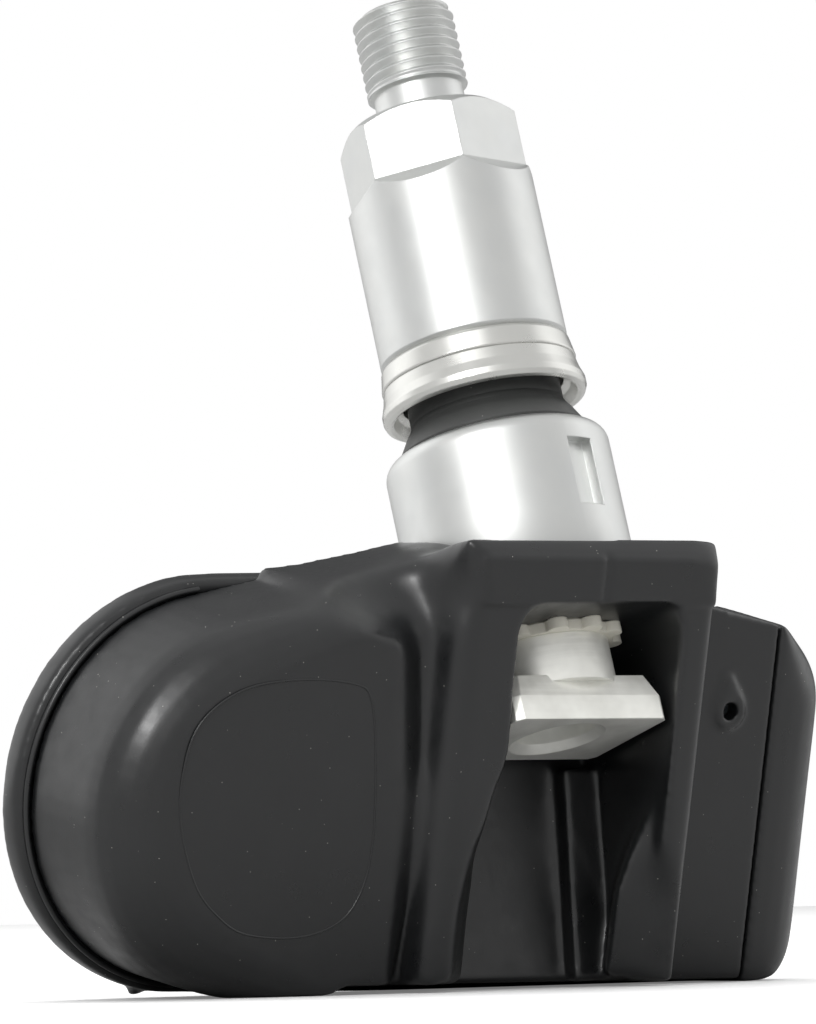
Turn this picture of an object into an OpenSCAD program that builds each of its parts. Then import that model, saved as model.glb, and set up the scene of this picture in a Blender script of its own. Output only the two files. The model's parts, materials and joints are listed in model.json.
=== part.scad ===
// Clamp-in tyre pressure sensor: moulded housing with a battery drum on its left,
// a bracket with an open pocket in the middle, an electronics box on its right and
// a screwed aluminium valve that leans back through the bracket.
// The origin is on the valve axis where the rim's face sits on the rubber seal.
// X runs from the drum to the box, Y away from the bracket's front, Z up.

/* [Stance] */
// Pitch of the drum axis above level when the sensor stands on its underside
stance_pitch = 12.3; // [8:0.1:15]
// Depth of the standing surface below the rim's face
stand_drop = 41.1; // [40.8:0.1:42]

/* [Valve] */
// Lean of the valve axis, measured from the housing's own height
valve_lean = 29.4; // [24:0.1:31]
// Sideways lean of the valve axis towards the drum
valve_side = 0.9; // [0:0.1:1.5]
// Radius of the collar
collar_r = 8.45; // [8:0.05:9]
// Distance from the rim's face down to the collar's seat on the bracket
collar_h = 12; // [11.6:0.1:12.4]
// Distance from the rim's face down to the collar's top
collar_drop = 1; // [0.6:0.1:1.4]
// Radius of the collar's flat top
collar_top_r = 7.25; // [6.9:0.05:7.6]
// Drop of the collar's rounded shoulder
collar_shoulder = 1.3; // [0.8:0.1:2]
// Width of the hook spanner slots in the collar
slot_w = 2.5; // [1.6:0.1:3]
// Length of the hook spanner slots
slot_len = 5.2; // [3:0.1:6]
// Depth of the hook spanner slots
slot_depth = 0.9; // [0.5:0.1:1.3]
// Number of hook spanner slots
slot_count = 2; // [2:1:6]
// Depth of the upper end of the slots below the rim's face
slot_drop = 3.2; // [2.4:0.1:4]
// Turn of the first slot about the valve axis
slot_turn = 100.6; // [0:0.1:180]
// Radius of the stem inside the union nut
stem_r = 4.75; // [4.5:0.05:4.9]
// Height of the shoulder where the stem steps down to its neck
stem_shoulder = 19.6; // [18:0.1:20.5]
// Radius of the neck
neck_r = 3.65; // [3.5:0.05:3.7]
// Radius of the cap thread over its crests
cap_thread_r = 3.85; // [3.8:0.01:3.9]
// Height where the cap thread starts
cap_thread_from = 27.9; // [27:0.1:28.5]
// Height of the stem's tip
stem_tip = 34.3; // [33.5:0.1:35]
// Radius of the air bore through the stem
air_r = 1.5; // [1:0.1:1.8]
// Radius of the chamber for the valve core
core_r = 2.6; // [2.5:0.05:2.8]
// Depth of the chamber for the valve core
core_depth = 11.6; // [11.2:0.1:12.5]

/* [Foot nut] */
// Width of the foot nut's plate across the pocket
foot_w = 13.9; // [12.5:0.1:14]
// Depth of the foot nut's plate
foot_d = 9.5; // [9:0.1:9.8]
// Thickness of the plate
foot_t = 3.55; // [3:0.05:4]
// Height of the plate's sloping upper edge
foot_bevel = 1.75; // [1:0.05:2]
// Inset of the plate's sloping upper edge
foot_bevel_in = 0.6; // [0.3:0.05:0.9]
// Chamfer of the plate's upright corners
foot_corner = 0.5; // [0.4:0.1:1.2]
// Turn of the plate about the valve axis, where its corners meet the pocket
foot_turn = 2.4; // [0:0.1:2.6]
// Depth of the plate's underside below the rim's face
foot_drop = 23.85; // [23.5:0.05:24.2]
// Radius of the nut's round boss
foot_boss_r = 5.2; // [4.9:0.05:5.4]
// Radius of the nut's spigot inside the lock ring
foot_spigot_r = 4.4; // [4.2:0.05:4.6]
// Radius of the threaded hole
foot_thread_r = 3.05; // [2.9:0.05:3.2]

/* [Lock ring] */
// Number of lobes round the lock ring
lobe_count = 12; // [8:1:14]
// Radius of each lobe
lobe_r = 0.85; // [0.6:0.05:1]
// Radius of the circle through the lobe centres
lobe_circle_r = 5.6; // [5.3:0.05:5.8]
// Thickness of the lobed flange
lobe_t = 0.8; // [0.6:0.05:1]

/* [Seal, washer and union nut] */
// Radius of the rubber seal's neck, which fills the rim hole
seal_r = 5.8; // [5.6:0.05:5.9]
// Radius of the seal's foot on the collar
seal_foot_r = 7.15; // [6.8:0.05:7.2]
// Height of the seal
seal_h = 4.5; // [4.2:0.1:4.8]
// Largest radius of the dished washer
washer_r = 7.75; // [7.5:0.05:8]
// Height of the washer's lower edge
washer_from = 2; // [1.8:0.1:2.2]
// Height of the joint between the washer and the captive ring
ring_from = 4.65; // [4.6:0.05:4.9]
// Height of the joint between the captive ring and the union nut
nut_from = 6.35; // [6.1:0.05:6.6]
// Radius of the union nut's barrel
nut_r = 7.1; // [7:0.05:7.3]
// Width of the hexagon across its flats
nut_flats = 12; // [11.6:0.1:12.2]
// Height where the flats of the hexagon end
hex_from = 19.9; // [19:0.1:20.5]
// Height of the union nut's top face
nut_top = 25.2; // [24.8:0.1:25.6]
// Turn of the hexagon about the valve axis
hex_turn = 48; // [0:1:60]
// Gap between the union nut and the stem, on the radius
nut_gap = 0.08; // [0.05:0.01:0.1]

/* [Valve core] */
// Radius of the core's barrel
barrel_r = 2.55; // [2.5:0.01:2.58]
// Length of the core's barrel
barrel_len = 8; // [7:0.1:8.5]
// Radius of the core's pin
pin_r = 0.55; // [0.4:0.05:0.6]
// Number of turns in the core's spring
spring_turns = 5; // [4:1:8]

/* [Drum] */
// Sideways place of the drum's axis
drum_x = -24.7; // [-25.5:0.1:-24]
// Depth of the drum's axis below the rim's face, along the housing's height
drum_drop = 25.9; // [25.5:0.1:26.3]
// Radius of the lid's rim round the drum
rim_r = 15.4; // [15.2:0.05:15.7]
// Radius of the drum's side wall
drum_r = 14; // [13.8:0.05:14.3]
// Distance from the back of the lid to the drum's front
drum_depth = 14.2; // [13.6:0.1:14.8]
// Radius of the round between the drum's side and front
drum_round = 4.6; // [3:0.1:5]
// Depth of the drum's flat shoulder below the rim's face
drum_top_drop = 10.1; // [9.8:0.1:10.6]
// Sideways place of the drum's flat flank
drum_flank_x = -13.6; // [-14:0.1:-13.2]
// Radius of the drum's upper corner
drum_corner_r = 5.4; // [5:0.1:6]

/* [Bracket] */
// Distance from the back of the lid to the bracket's front
bracket_depth = 15.8; // [15.4:0.1:16.4]
// Sideways place of the bracket's left face
bracket_left = -12.4; // [-13:0.1:-12]
// Sideways place of the bracket's right face
bracket_right = 10.9; // [10.6:0.1:11.6]
// Gap between the foot nut and each side of the pocket
foot_side_gap = 0.45; // [0.4:0.05:0.6]
// Sideways place of the pocket's middle
pocket_x = 0.2; // [0:0.05:0.3]
// Thickness of the bracket's roof along the valve axis
roof_t = 4.4; // [4:0.1:4.6]
// How far the lintel stands proud of the legs
lintel_proud = 0.35; // [0.2:0.05:0.6]
// Depth of the lintel's upper edge below the rim's face
lintel_top_drop = 6.5; // [6.2:0.1:6.8]
// Depth of the lintel's lower edge below the rim's face
lintel_low_drop = 10.1; // [9.8:0.1:10.4]
// Radius of the bracket's upright corners
bracket_round = 1.4; // [0.8:0.1:2]
// Radius of the seat under the collar
seat_r = 9; // [8.7:0.1:9.4]
// Radius of the hole for the lock ring's sleeve
hole_r = 5.5; // [5.3:0.05:5.7]
// Radius of the scoop in front of the pocket
scoop_r = 12.4; // [11.5:0.1:13]

/* [Electronics box] */
// Distance from the back of the lid to the box's front
box_depth = 9; // [8.6:0.1:9.6]
// Sideways place of the seam between the box and the lid's end cap
seam_x = 22.3; // [21.5:0.1:23]
// Length of the end cap from its seam
cap_reach = 6.8; // [6.4:0.1:7.2]
// Radius of the end cap's round front edge
cap_round = 5; // [4:0.1:5.2]
// Depth of the box's upper edge, beside the bracket
box_top_drop = 10.2; // [9.8:0.1:10.8]
// Depth of the box's upper edge, at the seam
box_end_drop = 12.6; // [12.2:0.1:13.2]
// Radius of the end cap's corners, seen from the front
box_corner_r = 5.3; // [5.2:0.1:5.6]
// Sideways place of the pressure port
port_x = 18.1; // [17.5:0.1:18.6]
// Depth of the pressure port below the rim's face
port_drop = 19.2; // [18.8:0.1:19.8]
// Radius of the pressure port
port_r = 0.65; // [0.5:0.05:0.8]

/* [Walls] */
// Wall of the mouldings
wall = 1.2; // [1:0.05:1.3]
// Thickness of the lid's rim
rim_t = 2.6; // [2.4:0.1:2.8]
// Thickness of the lid's plate
lid_t = 1.2; // [1:0.1:1.4]
// Gap between parts that fit into each other
fit_gap = 0.1; // [0.05:0.01:0.15]

/* [Electronics] */
// Gap between the battery cell and the drum's wall
cell_gap = 0.55; // [0.5:0.05:0.8]
// Thickness of the battery cell
cell_t = 5; // [4.8:0.1:5.2]
// Thickness of the battery's tabs
tab_t = 0.2; // [0.15:0.05:0.25]
// Width of the battery's tabs
tab_w = 4; // [3:0.5:5]
// Thickness of the circuit board
board_t = 1; // [0.8:0.1:1.1]
// Side of the pressure chip
chip_w = 6.5; // [6:0.1:7]
// Share of the room in front of the board that the pressure chip fills, under its seal
chip_share = 0.526316; // [0.45:0.01:0.6]
// Radius of the port's seal
port_seal_r = 2.3; // [2:0.1:2.6]

/* [Hidden] */

// Smoothness of true rounds, of outlines and of rounded bodies
fine = 96;
outline_fn = 64;
hull_fn = 32;
// Far enough to cut right through any piece
far = 60;
eps = 0.01;
pocket_w = foot_w + 2 * foot_side_gap;

// Colours as seen
charcoal = "#1b1c1d";
alu = "#c9cbc8";
bright_alu = "#dfe0dc";
cream = "#e4e2d8";
rubber_black = "#141414";

// Valve axis: heights along it
seat_at = -collar_h;
roof_at = seat_at - roof_t;
lobe_at = roof_at - lobe_t;
foot_top = foot_t - foot_drop;
foot_thread_end = -collar_h - 0.3;
washer_hole_r = seal_r + 0.3;
ring_hole_r = stem_r + 0.15;
nut_bore_r = stem_r + nut_gap;
nut_lip_r = neck_r + 0.35;
nut_lip_from = stem_shoulder + 1.6;
hex_corner_r = nut_flats / sqrt(3);
runout_slope = 1.05;

// Valve core: heights along the valve axis
barrel_top = stem_tip - 0.8;
barrel_low = barrel_top - barrel_len;
cup_t = 0.9;
cup_r = 2.2;
disc_t = 0.5;
core_bore_r = 1.2;
core_guide_t = 0.8;
pin_head_r = 0.95;
pin_top = stem_tip - 0.35;
pin_low = barrel_low - cup_t - disc_t;
spring_wire_r = 0.14;
spring_r = 0.84;
spring_low = barrel_low + core_guide_t + spring_wire_r + 0.02;
spring_top = pin_top - 1.9;

// Housing: the forward axis runs out of the lid's back towards the front
drum_z = -drum_drop;
drum_top_z = -drum_top_drop;
drum_low_reach = 13;
flank_round = 1.3;
drum_draft = 0.35;
bottom_z = -stand_drop / cos(stance_pitch);
pocket_back_top = 4.7;
pocket_back_knee_z = -22;
pocket_back_slope = 0.29;
pocket_corner_r = 2;
leg_low = stand_drop - 0.45;
leg_slope = 0.6;
box_inner_z = -stand_drop + wall + 1.6;
notch_r = 10.4;
notch_z = -20.4;
cap_x = seam_x + cap_reach;

// Electronics: forward places of each layer
board_from = rim_t + 0.02;
board_front = board_from + board_t;
cell_r = drum_r - wall - cell_gap;
cell_from = board_front + 2.6;
cell_front = cell_from + cell_t;
inner_front = cell_front + tab_t + 0.3;
tab_turn = 28;
box_inner = box_depth - wall;
chip_t = chip_share * (box_inner - board_front);
chip_front = board_front + chip_t;
board_top_z = -20.9;
antenna_x = -11;
antenna_rise = 2.2;
antenna_len = 14;
antenna_w = 1.6;
small_parts_x = 13;
crystal_z = -29.6;
capacitors_z = -32;
coil_x = 17.6;
coil_z = -35.2;
coil_len = 7;
coil_h = 2.6;

// Standing frame to housing frame
module stance() {
    rotate([stance_pitch, 0, 0]) children();
}

// Turns Z of the housing's frame onto the valve axis
module leaning() {
    rotate([-valve_lean, -valve_side, 0]) children();
}

// Children drawn along Z stand on the valve axis
module on_valve() {
    stance() leaning() children();
}

// Children drawn in X and Y, and raised along Z, face the bracket's front
module facing() {
    rotate([90, 0, 0]) children();
}

// The same for a piece of its own
module facing_front() {
    stance() facing() children();
}

// A plate of an outline between two forward places
module slab(from, to) {
    facing() translate([0, 0, from]) linear_extrude(to - from) children();
}

// Everything under the standing surface
module under_stand() {
    translate([-far, -far, -stand_drop - far]) cube([2 * far, 2 * far, far]);
}

// Everything under the legs and the box, which end a little higher on the left
module under_legs() {
    translate([0, 0, -leg_low]) rotate([0, leg_slope, 0])
        translate([-far, -far, -far]) cube([2 * far, 2 * far, far]);
}

// A disc with a rounded front edge, wider at its back by a draft
module round_puck(r, round_r, from, to, draft = 0) {
    translate([0, 0, from]) rotate_extrude($fn = outline_fn)
        polygon(concat([[0, 0], [r + draft, 0]],
            [for (a = [0:15:90]) [r - round_r + round_r * cos(a), to - from - round_r + round_r * sin(a)]],
            [[0, to - from]]));
}

// Solid form of the drum with its rounded front
module drum_body() {
    facing() hull() {
        translate([drum_x, drum_z, 0]) round_puck(drum_r, drum_round, rim_t, drum_depth, drum_draft);
        translate([drum_flank_x - drum_corner_r, drum_top_z - drum_corner_r, 0])
            round_puck(drum_corner_r, 2.2 * flank_round, rim_t, drum_depth);
        translate([drum_flank_x - 2 * flank_round, drum_z - drum_low_reach, 0])
            round_puck(2 * flank_round, flank_round, rim_t, drum_depth);
    }
}

// Ramp that carries the drum into the bracket's shoulder
module shoulder_body() {
    slab(rim_t, drum_depth - 1.4) polygon([[drum_x + 2, drum_top_z - 3], [drum_x + 3.4, drum_top_z + 0.36],
        [drum_x + 6.85, drum_top_z + 0.76], [drum_x + 8.6, drum_top_z + 1.12], [drum_x + 13.8,
            drum_top_z + 2.1],
        [drum_x + 17.7, drum_top_z + 3], [drum_x + 17.7, -42], [drum_flank_x - 5, -42],
        [drum_flank_x - 3, drum_top_z - 3]]);
}

// Bracket: two legs under a lintel, with a roof square to the valve
module bracket_body() {
    front = bracket_depth;
    slab(rim_t, front - bracket_round)
        translate([bracket_left, -44]) square([bracket_right - bracket_left, 40]);
    slab(rim_t, front) translate([bracket_left + bracket_round, -44])
        square([bracket_right - bracket_left - 2 * bracket_round, 40]);
    for (x = [bracket_left + bracket_round, bracket_right - bracket_round])
        translate([x, bracket_round - front, -44]) cylinder(r = bracket_round, h = 40, $fn = fine);
    // Lintel
    slab(front - 2, front + lintel_proud) translate([bracket_left + bracket_round, -lintel_low_drop])
        square([bracket_right - bracket_left - bracket_round - 0.3, lintel_low_drop - lintel_top_drop]);
    // Back of the bracket up to the lid's face, under the valve seat
    slab(0, rim_t + 1) translate([-notch_r, notch_z]) square([2 * notch_r, -notch_z]);
}

// Round seat under the collar, with a coned underside
module seat_body() {
    leaning() {
        translate([0, 0, seat_at - 4.2]) cylinder(r = seat_r, h = 4.2 + 2, $fn = fine);
        translate([0, 0, seat_at - 4.2 - 2.4]) cylinder(r1 = seat_r - 2.4, r2 = seat_r, h = 2.4 + eps,
            $fn = fine);
    }
}

// Outline of the electronics box up to a given end
module box_outline(end_x) {
    polygon([[bracket_right - 0.5, -44], [end_x, -44], [end_x, -box_end_drop], [bracket_right - 0.5,
        -box_top_drop]]);
}

// Everything above the roof's seat, and in front of its sloping top edge
module above_seat() {
    leaning() translate([-far, -far, seat_at]) cube([2 * far, 2 * far, far]);
}

// Front corner of the lintel, cut back to the seat
module lintel_bevel() {
    translate([0, -bracket_depth - lintel_proud, -lintel_top_drop]) rotate([48, 0, 0])
        translate([-far, -far, 0]) cube([2 * far, 2 * far, far]);
}

// Section of the pocket, seen from the side: roof, back wall and open front and foot
module pocket_space() {
    intersection() {
        leaning() rotate([90, 0, 0]) translate([0, 0, -far / 2])
            linear_extrude(far) hull() {
                for (side = [-1, 1]) {
                    translate([pocket_x + side * (pocket_w / 2 - pocket_corner_r),
                        roof_at - pocket_corner_r])
                        circle(r = pocket_corner_r, $fn = hull_fn);
                    translate([pocket_x + side * (pocket_w / 2 - 1), roof_at - 50]) square([2, 1],
                        center = true);
                }
            }
        translate([-far / 2, 0, 0]) rotate([90, 0, 90]) linear_extrude(far)
            polygon([[-30, 5], [-pocket_back_top, 5], [-pocket_back_top, pocket_back_knee_z],
                [-pocket_back_top - pocket_back_slope * (50 + pocket_back_knee_z), -50], [-30, -50]]);
    }
}

// Upright column in the pocket's back right corner
module pocket_column() {
    intersection() {
        translate([pocket_x + pocket_w / 2 - 2.7, -pocket_back_top - 0.6, pocket_back_knee_z + 1])
            rotate([-atan(pocket_back_slope), 0, 0]) translate([0, -0.6, -24]) cube([3.2, 4, 20.8]);
        translate([0, -30, -44]) cube([pocket_x + pocket_w / 2 + 0.5, 30, 44]);
    }
}

// Scoop that opens the pocket's mouth towards its foot
module scoop() {
    top_r = 9.5;
    translate([0, -scoop_r - 10.9, 0]) rotate_extrude($fn = fine)
        polygon(concat([[0, -45], [scoop_r, -45]],
            [for (i = [0:8]) let (s = i / 8, f = (1 - cos(180 * s)) / 2)
                [scoop_r - (scoop_r - top_r) * f, -33 + 11 * s]],
            [[0, -22]]));
}

module housing() {
    color(charcoal) difference() {
        stance() difference() {
            union() {
                drum_body();
                difference() {
                    union() {
                        bracket_body();
                        seat_body();
                    }
                    above_seat();
                    lintel_bevel();
                }
                difference() {
                    shoulder_body();
                    leaning() translate([0, 0, seat_at]) cylinder(r = seat_r + 0.3, h = far, $fn = fine);
                }
                slab(rim_t, box_depth) box_outline(seam_x - fit_gap);
                port_bump();
            }
            difference() {
                pocket_space();
                pocket_column();
            }
            scoop();
            // Hole for the lock ring's sleeve
            leaning() translate([0, 0, roof_at - 1]) cylinder(r = hole_r, h = roof_t + 2, $fn = fine);
            foot_room();
            lintel_groove();
            housing_cavities();
            facing() translate([port_x, -port_drop, 0]) cylinder(r = port_r, h = box_depth + 2, $fn = 32);
        }
        under_legs_clear_of_drum();
        under_stand();
    }
}

// The legs and the box end above the standing surface, and the drum's round goes lower
module under_legs_clear_of_drum() {
    difference() {
        under_legs();
        stance() facing() translate([drum_x, drum_z, -5]) cylinder(r = drum_r + 0.2, h = 30,
            $fn = outline_fn);
    }
}

// Room round the lock ring and round the foot nut's plate, behind the open pocket
module foot_room() {
    leaning() {
        translate([0, 0, foot_top - eps]) cylinder(r = lobe_circle_r + lobe_r + 0.3,
            h = roof_at - foot_top + eps, $fn = fine);
        translate([0, 0, -foot_drop - 1]) rotate([0, 0, foot_turn])
            translate([-foot_w / 2 + 2, 0, 0]) cube([foot_w - 4, foot_d / 2 + 0.4, foot_t + 1.4]);
    }
}

// Short upright groove in the middle of the lintel
module lintel_groove() {
    translate([0, -bracket_depth - lintel_proud - 0.15, -lintel_low_drop - 1]) rotate([0, 0, 45])
        translate([-0.3, -0.3, 0]) cube([0.6, 0.6, lintel_low_drop - lintel_top_drop + 1]);
}

// Long rounded bump that carries the pressure port
module port_bump() {
    facing() hull() {
        translate([port_x, -port_drop, box_depth - 0.5]) cylinder(r1 = 1.7, r2 = 1.3, h = 0.9,
            $fn = hull_fn);
        translate([port_x - 0.4, -port_drop + 2.4, box_depth - 0.5]) cylinder(r1 = 1.1, r2 = 0.3,
            h = 0.8, $fn = hull_fn);
    }
}

// Hollows of the drum, of the box and of the passage behind the pocket
module housing_cavities() {
    facing() translate([drum_x, drum_z, 0]) round_puck(drum_r - wall, 0.4, -eps, inner_front);
    slab(0, box_inner) box_hollow_outline(seam_x + 5);
    slab(0, board_front + fit_gap) passage_outline();
    // Room for the antenna behind the pocket
    slab(0, board_front + antenna_rise + 0.6) translate([antenna_x - 0.6, box_inner_z]) square([15.2, 2.6]);
}

// Outline of the space in the electronics box
module box_hollow_outline(end_x) {
    polygon([[bracket_right - wall + 0.6, box_inner_z], [end_x, box_inner_z],
        [end_x, -box_end_drop - wall - 1.2], [bracket_right - wall + 0.6, -box_top_drop - wall - 0.2]]);
}

// Outline of the space for the board behind the pocket
module passage_outline() {
    translate([drum_x, box_inner_z]) square([bracket_right - drum_x + 2, board_top_z + 0.3 - box_inner_z]);
}

// Outline of the lid: the drum's rim, the plate and the box's end
module lid_outline(margin) {
    difference() {
        union() {
            translate([drum_x, drum_z]) circle(r = rim_r + margin, $fn = fine);
            hull() {
                translate([drum_x, drum_z + rim_r - 1]) circle(r = 1 + margin, $fn = hull_fn);
                translate([drum_flank_x, -box_top_drop - 1]) circle(r = 1 + margin, $fn = hull_fn);
                translate([cap_x - box_corner_r, -box_end_drop - box_corner_r - 0.8])
                    circle(r = box_corner_r + margin, $fn = outline_fn);
                translate([cap_x - box_corner_r, bottom_z + box_corner_r - 0.6])
                    circle(r = box_corner_r + margin, $fn = outline_fn);
                translate([drum_x, drum_z - rim_r + 1]) circle(r = 1 + margin, $fn = hull_fn);
            }
        }
        translate([-notch_r - fit_gap + margin, notch_z - fit_gap + margin])
            square([2 * (notch_r + fit_gap - margin), far]);
    }
}

// Solid form of the end cap from its seam, drawn in by an inset
module cap_body(inset) {
    r = box_corner_r - inset;
    round_r = cap_round - inset;
    facing() hull() {
        for (z = [-box_end_drop - 0.8 - box_corner_r, bottom_z + box_corner_r - 0.6])
            translate([cap_x - box_corner_r, z, 0]) round_puck(r, round_r, inset, box_depth - inset);
        translate([seam_x - inset, bottom_z - 0.6 + inset, inset])
            cube([0.5, -box_end_drop - bottom_z + 0.6 - 2 * inset, box_depth - 2 * inset]);
    }
}

module back_cover() {
    color(charcoal) difference() {
        stance() union() {
            difference() {
                union() {
                    slab(0, rim_t) lid_outline(0);
                    // End cap, wrapped round the box
                    intersection() {
                        cap_body(0);
                        slab(0, box_depth) translate([seam_x, -far]) square(2 * far);
                    }
                }
                // Hollow over the board and inside the end cap
                slab(lid_t, rim_t + eps) intersection() {
                    lid_outline(-wall - 0.6);
                    translate([-far, box_inner_z]) square([2 * far, far]);
                }
                intersection() {
                    cap_body(wall);
                    slab(lid_t, box_depth) translate([seam_x - 2, box_inner_z]) square([far, far]);
                }
            }
            // Small standing nub under the rim
            facing() translate([drum_x - 2.5, drum_z - rim_r + 0.6, 0.6]) rotate([90, 0, 0])
                cylinder(r = 0.6, h = stand_drop / cos(stance_pitch) + drum_z - rim_r + 0.6, $fn = 24);
        }
        under_stand();
    }
}

// Slots for a hook spanner round the collar
module collar_slots() {
    for (i = [0:slot_count - 1]) rotate([0, 0, 360 / slot_count * i + slot_turn])
        translate([collar_r - slot_depth, -slot_w / 2, -slot_len - slot_drop]) cube([3, slot_w, slot_len]);
}

module valve_stem() {
    shank_r = foot_thread_r - 0.05;
    shank_low = foot_top - 1.4;
    color(alu) on_valve() difference() {
        rotate_extrude($fn = fine) polygon(concat(
            [[air_r, shank_low], [shank_r - 0.4, shank_low], [shank_r, shank_low + 0.4], [shank_r,
                seat_at]],
            [[collar_r - 0.6, seat_at], [collar_r, seat_at + 0.6]],
            [for (a = [0:15:90]) [collar_top_r + (collar_r - collar_top_r) * cos(a),
                -collar_drop - collar_shoulder + collar_shoulder * sin(a)]],
            [[stem_r, -collar_drop], [stem_r, stem_shoulder - 0.5], [stem_r - 0.5, stem_shoulder],
                [neck_r, stem_shoulder],
                [neck_r, cap_thread_from], [cap_thread_r, cap_thread_from + cap_thread_r - neck_r],
                [cap_thread_r, stem_tip - 0.6], [cap_thread_r - 0.6, stem_tip]],
            [[core_r + 0.3, stem_tip], [core_r, stem_tip - 0.3], [core_r, stem_tip - core_depth],
                [air_r, stem_tip - core_depth - 0.8]]));
        collar_slots();
    }
}

// Plate outline with chamfered upright corners, drawn in by an inset
module foot_outline(inset) {
    w = foot_w / 2 - inset;
    d = foot_d / 2 - inset;
    c = foot_corner;
    polygon([[-w + c, -d], [w - c, -d], [w, -d + c], [w, d - c], [w - c, d], [-w + c, d], [-w, d - c],
        [-w, -d + c]]);
}

module foot_nut() {
    color(bright_alu) on_valve() difference() {
        union() {
            translate([0, 0, -foot_drop]) rotate([0, 0, foot_turn]) {
                linear_extrude(foot_t - foot_bevel) foot_outline(0);
                hull() {
                    translate([0, 0, foot_t - foot_bevel]) linear_extrude(eps) foot_outline(0);
                    translate([0, 0, foot_t - eps]) linear_extrude(eps) foot_outline(foot_bevel_in);
                }
            }
            translate([0, 0, foot_top - 0.5]) cylinder(r = foot_boss_r, h = lobe_at - foot_top + 0.5,
                $fn = fine);
            translate([0, 0, lobe_at - eps]) cylinder(r = foot_spigot_r, h = foot_thread_end - lobe_at,
                $fn = fine);
        }
        translate([0, 0, -foot_drop - 1]) cylinder(r = foot_thread_r, h = foot_drop, $fn = fine);
        translate([0, 0, -foot_drop - eps]) cylinder(r1 = foot_thread_r + 0.6, r2 = foot_thread_r,
            h = 0.6, $fn = fine);
    }
}

module lock_ring() {
    sleeve_r = foot_spigot_r + fit_gap;
    color(cream) on_valve() difference() {
        union() {
            translate([0, 0, lobe_at]) linear_extrude(lobe_t) union() {
                circle(r = lobe_circle_r, $fn = fine);
                for (i = [0:lobe_count - 1]) rotate(360 / lobe_count * (i + 0.35))
                    translate([lobe_circle_r, 0]) circle(r = lobe_r, $fn = 24);
            }
            translate([0, 0, lobe_at]) cylinder(r = hole_r - fit_gap, h = foot_thread_end - lobe_at,
                $fn = fine);
        }
        translate([0, 0, lobe_at - 1]) cylinder(r = sleeve_r, h = roof_t + 4, $fn = fine);
    }
}

module rubber_seal() {
    color(rubber_black) on_valve() rotate_extrude($fn = fine)
        polygon([[stem_r + fit_gap, -collar_drop], [seal_foot_r - 0.1, -collar_drop], [seal_foot_r,
            -collar_drop + 0.3],
            [seal_foot_r - 0.35, -0.1], [seal_r + 0.6, 0.6], [seal_r + 0.2, 1.15], [seal_r, 1.6],
                [seal_r, seal_h - 0.3],
            [seal_r - 0.3, seal_h], [stem_r + fit_gap, seal_h]]);
}

module washer() {
    color(cream) on_valve() rotate_extrude($fn = fine)
        polygon([[washer_hole_r, washer_from + 1.2], [washer_hole_r + 0.5, washer_from + 0.9],
            [washer_r - 0.75, washer_from + 0.15], [washer_r - 0.45, washer_from], [washer_r - 0.15,
                washer_from + 0.15],
            [washer_r, washer_from + 0.5], [washer_r, washer_from + 0.95], [washer_r - 0.25,
                washer_from + 1.7],
            [washer_r - 0.45, ring_from], [washer_hole_r, ring_from]]);
}

module captive_ring() {
    color(bright_alu) on_valve() rotate_extrude($fn = fine)
        polygon([[ring_hole_r, ring_from], [nut_r + 0.25, ring_from], [nut_r + 0.3, ring_from + 0.15],
            [nut_r + 0.08, nut_from - 0.25], [nut_r - 0.12, nut_from], [ring_hole_r, nut_from]]);
}

module union_nut() {
    color(alu) on_valve() difference() {
        rotate_extrude($fn = fine) polygon([[nut_bore_r, nut_from], [nut_r - 0.3, nut_from],
            [nut_r, nut_from + 0.3], [nut_r, nut_top - 1.05], [hex_corner_r - 1.2, nut_top], [nut_lip_r,
                nut_top],
            [nut_lip_r, nut_lip_from], [nut_bore_r, nut_lip_from]]);
        // Flats of the hexagon, each with a sloping run-out
        for (i = [0:5]) rotate([0, 0, -hex_turn - 90 + 60 * i]) rotate([90, 0, 0])
            linear_extrude(far, center = true) polygon([[nut_flats / 2, hex_from], [nut_flats / 2, far],
                [far, far], [far, hex_from - runout_slope * (far - nut_flats / 2)]]);
    }
}

module core_barrel() {
    color("#c8a860") on_valve() rotate_extrude($fn = 48)
        polygon([[pin_r + 0.05, barrel_low], [barrel_r - 0.5, barrel_low], [barrel_r, barrel_low + 0.5],
            [barrel_r, barrel_top],
            [core_bore_r, barrel_top], [core_bore_r, barrel_low + core_guide_t], [pin_r + 0.05,
                barrel_low + core_guide_t]]);
}

module core_pin() {
    color("#c8a860") on_valve() rotate_extrude($fn = 48)
        polygon([[0, pin_low], [cup_r - 0.2, pin_low], [cup_r - 0.2, pin_low + disc_t], [pin_r,
            pin_low + disc_t],
            [pin_r, spring_top + spring_wire_r + 0.05], [pin_head_r, spring_top + spring_wire_r + 0.05],
            [pin_head_r, spring_top + 0.6], [pin_r, spring_top + 0.6], [pin_r, pin_top - 0.1],
                [pin_r - 0.1, pin_top], [0, pin_top]]);
}

module core_cup() {
    color(rubber_black) on_valve() rotate_extrude($fn = 48)
        polygon([[pin_r + 0.02, pin_low + disc_t], [cup_r, pin_low + disc_t], [cup_r, barrel_low - 0.35],
            [cup_r - 0.4, barrel_low - 0.05], [pin_r + 0.02, barrel_low - 0.05]]);
}

// Points of one ring of the spring's wire
function wire_ring(a, z) = [for (k = [0:60:300])
    [(spring_r + spring_wire_r * cos(k)) * cos(a), (spring_r + spring_wire_r * cos(k)) * sin(a),
        z + spring_wire_r * sin(k)]];

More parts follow.
